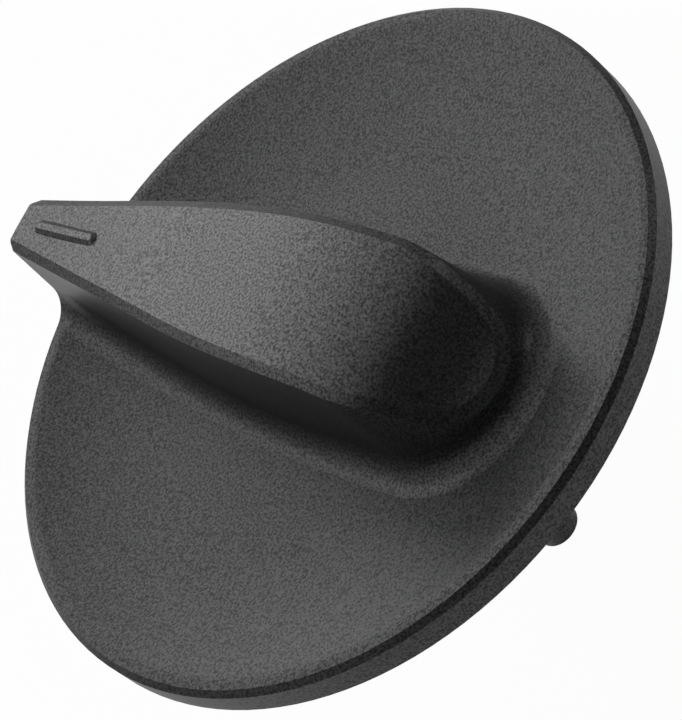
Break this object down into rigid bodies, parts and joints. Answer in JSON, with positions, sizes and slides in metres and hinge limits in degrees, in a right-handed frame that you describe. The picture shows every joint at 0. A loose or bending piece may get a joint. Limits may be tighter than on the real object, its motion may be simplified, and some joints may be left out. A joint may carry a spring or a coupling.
{
  "type": "control knob",
  "caption": "Round dished control knob moulded in one piece, with a tapered pointer grip scooped for the thumb, a raised indicator line and a drive spindle with a flat on its back.",
  "frame": {"origin": "on the spindle's axis, at the hub's shoulder where the spindle begins", "axes": "+Z along the axis towards the user, +Y along the pointer towards its nose, +X to the right of the pointer seen by the user"},
  "size_m": [0.0638, 0.0638, 0.0469],
  "materials": {
    "knob_body": "dark charcoal plastic with a fine, even grain and a satin sheen"
  },
  "bodies": {
    "root": {"knob_body": "knob_body"}
  },
  "joints": []
}
